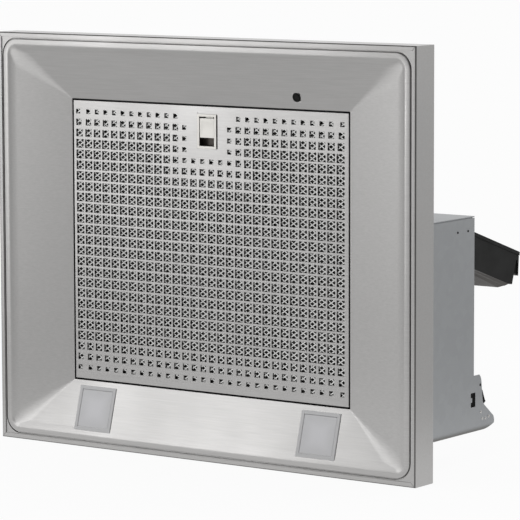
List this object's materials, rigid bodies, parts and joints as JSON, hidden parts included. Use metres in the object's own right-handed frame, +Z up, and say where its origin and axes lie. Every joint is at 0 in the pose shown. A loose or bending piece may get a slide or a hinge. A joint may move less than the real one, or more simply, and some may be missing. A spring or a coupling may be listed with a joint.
{
  "type": "range hood",
  "caption": "Built-in range hood: pressed steel tray with a hinged, perforated grease filter on a sprung latch, recessed lamps and a push button, motor housing and sloping outlet duct.",
  "frame": {"origin": "centre of the seating plane, where the edge frame's rear lips rest against the cabinet", "axes": "+X to the right of the intake face, +Y back through the hood, away from the intake face, +Z up as pictured. In use the hood lies with its intake face down: -Y points down and the +Z edge, with the button and the latch, is the front edge."},
  "size_m": [0.555, 0.2841, 0.457],
  "materials": {
    "stainless": "satin stainless steel",
    "sheet": "dull grey coated steel sheet",
    "bright_steel": "polished steel",
    "filter_aluminium": "mill finish",
    "filter_pad": "layers of expanded mesh",
    "black_plastic": "fine matt texture",
    "black_screws": "black zinc",
    "grey_plastic": "moulded, matt",
    "motor_paint": "dark painted",
    "rubber": "soft, matt",
    "white_plastic": "moulded, matt",
    "lamp_bezel": "satin silver",
    "lens": "frosted",
    "board": "circuit board"
  },
  "bodies": {
    "root": {"edge_frame": "stainless", "tray": "stainless", "air_box": "sheet", "housing_wrapper": "sheet", "housing_lid": "sheet", "rear_panel": "sheet", "ear_rivets": "sheet", "hinge_ears": "sheet", "scroll_wrap": "sheet", "scroll_side_left": "sheet", "scroll_side_right": "sheet", "scroll_feet": "sheet", "motor_bracket": "sheet", "capacitor_clamp": "sheet", "flap_spine": "bright_steel", "button_bezel": "black_plastic", "snap_clip_left": "black_plastic", "snap_clip_right": "black_plastic", "outlet_duct": "black_plastic", "outlet_cover": "black_plastic", "lamp_driver": "black_plastic", "mains_gland": "black_plastic", "housing_screws": "black_screws", "button_switch": "grey_plastic", "inlet_ring_left": "grey_plastic", "inlet_ring_right": "grey_plastic", "motor_body": "motor_paint", "motor_grommets": "rubber", "capacitor": "white_plastic", "control_box": "white_plastic", "control_lid": "white_plastic", "lamp_body_left": "lamp_bezel", "lamp_body_right": "lamp_bezel", "lamp_lens_left": "lens", "lamp_lens_right": "lens", "lamp_board_left": "board", "lamp_board_right": "board"},
    "filter": {"filter_plate": "stainless", "filter_pad": "filter_pad", "filter_channels": "filter_aluminium", "filter_screen": "filter_aluminium", "filter_pivots": "bright_steel", "latch_cup": "stainless", "latch_spring": "bright_steel"},
    "latch": {"latch_tab": "bright_steel"},
    "fan": {"fan_wheel": "grey_plastic", "motor_shaft": "bright_steel"},
    "flap_upper_body": {"flap_upper": "grey_plastic"},
    "flap_lower_body": {"flap_lower": "grey_plastic"},
    "button": {"control_button": "black_plastic"}
  },
  "joints": [
    {"name": "filter_open", "type": "hinge", "parent": "root", "child": "filter", "pos_m": [0, -0.015, -0.1503], "axis": [1, 0, 0], "range_deg": [0, 90]},
    {"name": "latch_slide", "type": "slide", "parent": "filter", "child": "latch", "axis": [0, 0, -1], "range_m": [0, 0.007], "stiffness_N_per_m": 150, "springref_m": -0.004, "deforming": ["latch_spring"]},
    {"name": "fan_spin", "type": "hinge", "parent": "root", "child": "fan", "pos_m": [0.135, 0.069, -0.0329], "axis": [1, 0, 0], "continuous": true},
    {"name": "flap_upper_open", "type": "hinge", "parent": "root", "child": "flap_upper_body", "pos_m": [0.135, 0.18612, -0.01383], "axis": [-1, 0, 0], "range_deg": [0, 70], "stiffness_Nm_per_rad": 0.002, "springref_deg": -28.65},
    {"name": "flap_lower_open", "type": "hinge", "parent": "root", "child": "flap_lower_body", "pos_m": [0.135, 0.18612, -0.01383], "axis": [1, 0, 0], "range_deg": [0, 70], "stiffness_Nm_per_rad": 0.002, "springref_deg": -28.65},
    {"name": "button_press", "type": "slide", "parent": "root", "child": "button", "axis": [0, 0.964, 0.2658], "range_m": [0, 0.001], "stiffness_N_per_m": 300, "springref_m": -0.001}
  ]
}
